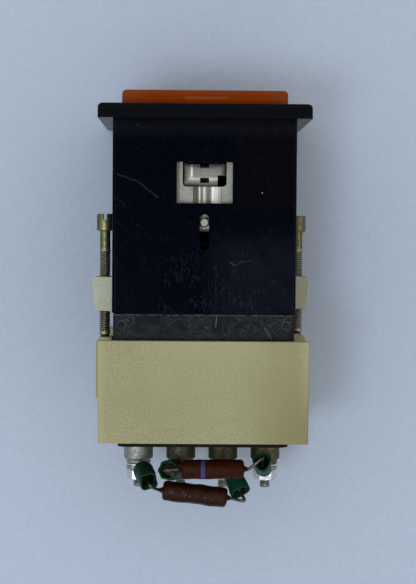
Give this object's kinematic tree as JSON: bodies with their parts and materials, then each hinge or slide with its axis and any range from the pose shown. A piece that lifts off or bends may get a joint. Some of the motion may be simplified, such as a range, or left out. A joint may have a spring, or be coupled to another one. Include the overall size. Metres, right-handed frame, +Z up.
{
  "type": "panel push-button",
  "caption": "Square illuminated panel push-button: orange cap in a black bezel and sleeve, cream clamp frame with screws, rear screw terminals bridged by resistors.",
  "frame": {"origin": "centre of the panel opening, in the plane of the bezel's back", "axes": "+Y runs from the panel back to the terminals, +Z is up as the picture's camera looks down on it"},
  "size_m": [0.0552, 0.104, 0.052],
  "materials": {
    "black_plastic": "satin moulded",
    "grey_plastic": "moulded, rubbed",
    "board": "laminate",
    "orange_lens": "translucent",
    "nickel": "nickel plated",
    "lamp_glass": "clear",
    "brass": "plain",
    "cream_plastic": "moulded",
    "pale_plastic": "moulded",
    "yellow_zinc": "yellow passivated zinc",
    "steel": "plated",
    "tinned_copper": "tinned",
    "green_sleeve": "soft plastic",
    "brown_enamel": "glossy enamel"
  },
  "bodies": {
    "housing": {"housing": "black_plastic", "rear_base": "grey_plastic", "guide_plate": "board", "return_spring": "steel", "terminal_post_1": "steel", "terminal_post_2": "steel", "terminal_post_3": "steel", "terminal_post_4": "steel", "terminal_stud_1": "steel", "terminal_stud_2": "steel", "terminal_stud_3": "steel", "terminal_stud_4": "steel", "terminal_washer_1": "steel", "terminal_washer_2": "steel", "terminal_washer_3": "steel", "terminal_washer_4": "steel", "terminal_nut_1": "steel", "terminal_nut_2": "steel", "terminal_nut_3": "steel", "terminal_nut_4": "steel", "ring_lug_1": "tinned_copper", "ring_lug_2": "tinned_copper", "ring_lug_3": "tinned_copper", "ring_lug_4": "tinned_copper", "lug_sleeve_1": "green_sleeve", "lug_sleeve_2": "green_sleeve", "lug_sleeve_3": "green_sleeve", "lug_sleeve_4": "green_sleeve", "resistor_upper": "brown_enamel", "resistor_lower": "brown_enamel", "resistor_upper_lead_left": "tinned_copper", "resistor_upper_lead_right": "tinned_copper", "resistor_lower_lead_left": "tinned_copper", "resistor_lower_lead_right": "tinned_copper"},
    "button": {"lens_cap": "orange_lens", "lamp_carriage": "nickel", "guide_pin": "nickel", "lamp_bracket": "nickel", "lamp_socket": "nickel", "lamp_base": "brass", "lamp_glass": "lamp_glass", "plunger": "grey_plastic", "contact_bridge": "brass"},
    "collar": {"clamp_collar": "cream_plastic"},
    "screw_left": {"clamp_screw_left": "yellow_zinc"},
    "screw_right": {"clamp_screw_right": "yellow_zinc"},
    "block_left": {"clamp_block_left": "pale_plastic"},
    "block_right": {"clamp_block_right": "pale_plastic"}
  },
  "joints": [
    {"name": "button_press", "type": "slide", "parent": "housing", "child": "button", "axis": [0, 1, 0], "range_m": [0, 0.005], "stiffness_N_per_m": 600, "springref_m": -0.004, "deforming": ["return_spring"]},
    {"name": "collar_slide", "type": "slide", "parent": "housing", "child": "collar", "axis": [0, -1, 0], "range_m": [0, 0.019]},
    {"name": "screw_left_turn", "type": "hinge", "parent": "collar", "child": "screw_left", "pos_m": [0.0248, 0.04, 0.0083], "axis": [0, 1, 0], "range_deg": [-4320, 4320]},
    {"name": "block_left_travel", "type": "slide", "parent": "collar", "child": "block_left", "axis": [0, -1, 0], "range_m": [-0.00599, 0.00599]},
    {"name": "screw_right_turn", "type": "hinge", "parent": "collar", "child": "screw_right", "pos_m": [-0.0248, 0.04, -0.0083], "axis": [0, 1, 0], "range_deg": [-4320, 4320]},
    {"name": "block_right_travel", "type": "slide", "parent": "collar", "child": "block_right", "axis": [0, -1, 0], "range_m": [-0.00599, 0.00599]}
  ],
  "couplings": [
    {"joint": "screw_left_turn", "follows": "block_left_travel", "rad_per_m": 12566},
    {"joint": "screw_right_turn", "follows": "block_right_travel", "rad_per_m": 12566}
  ]
}
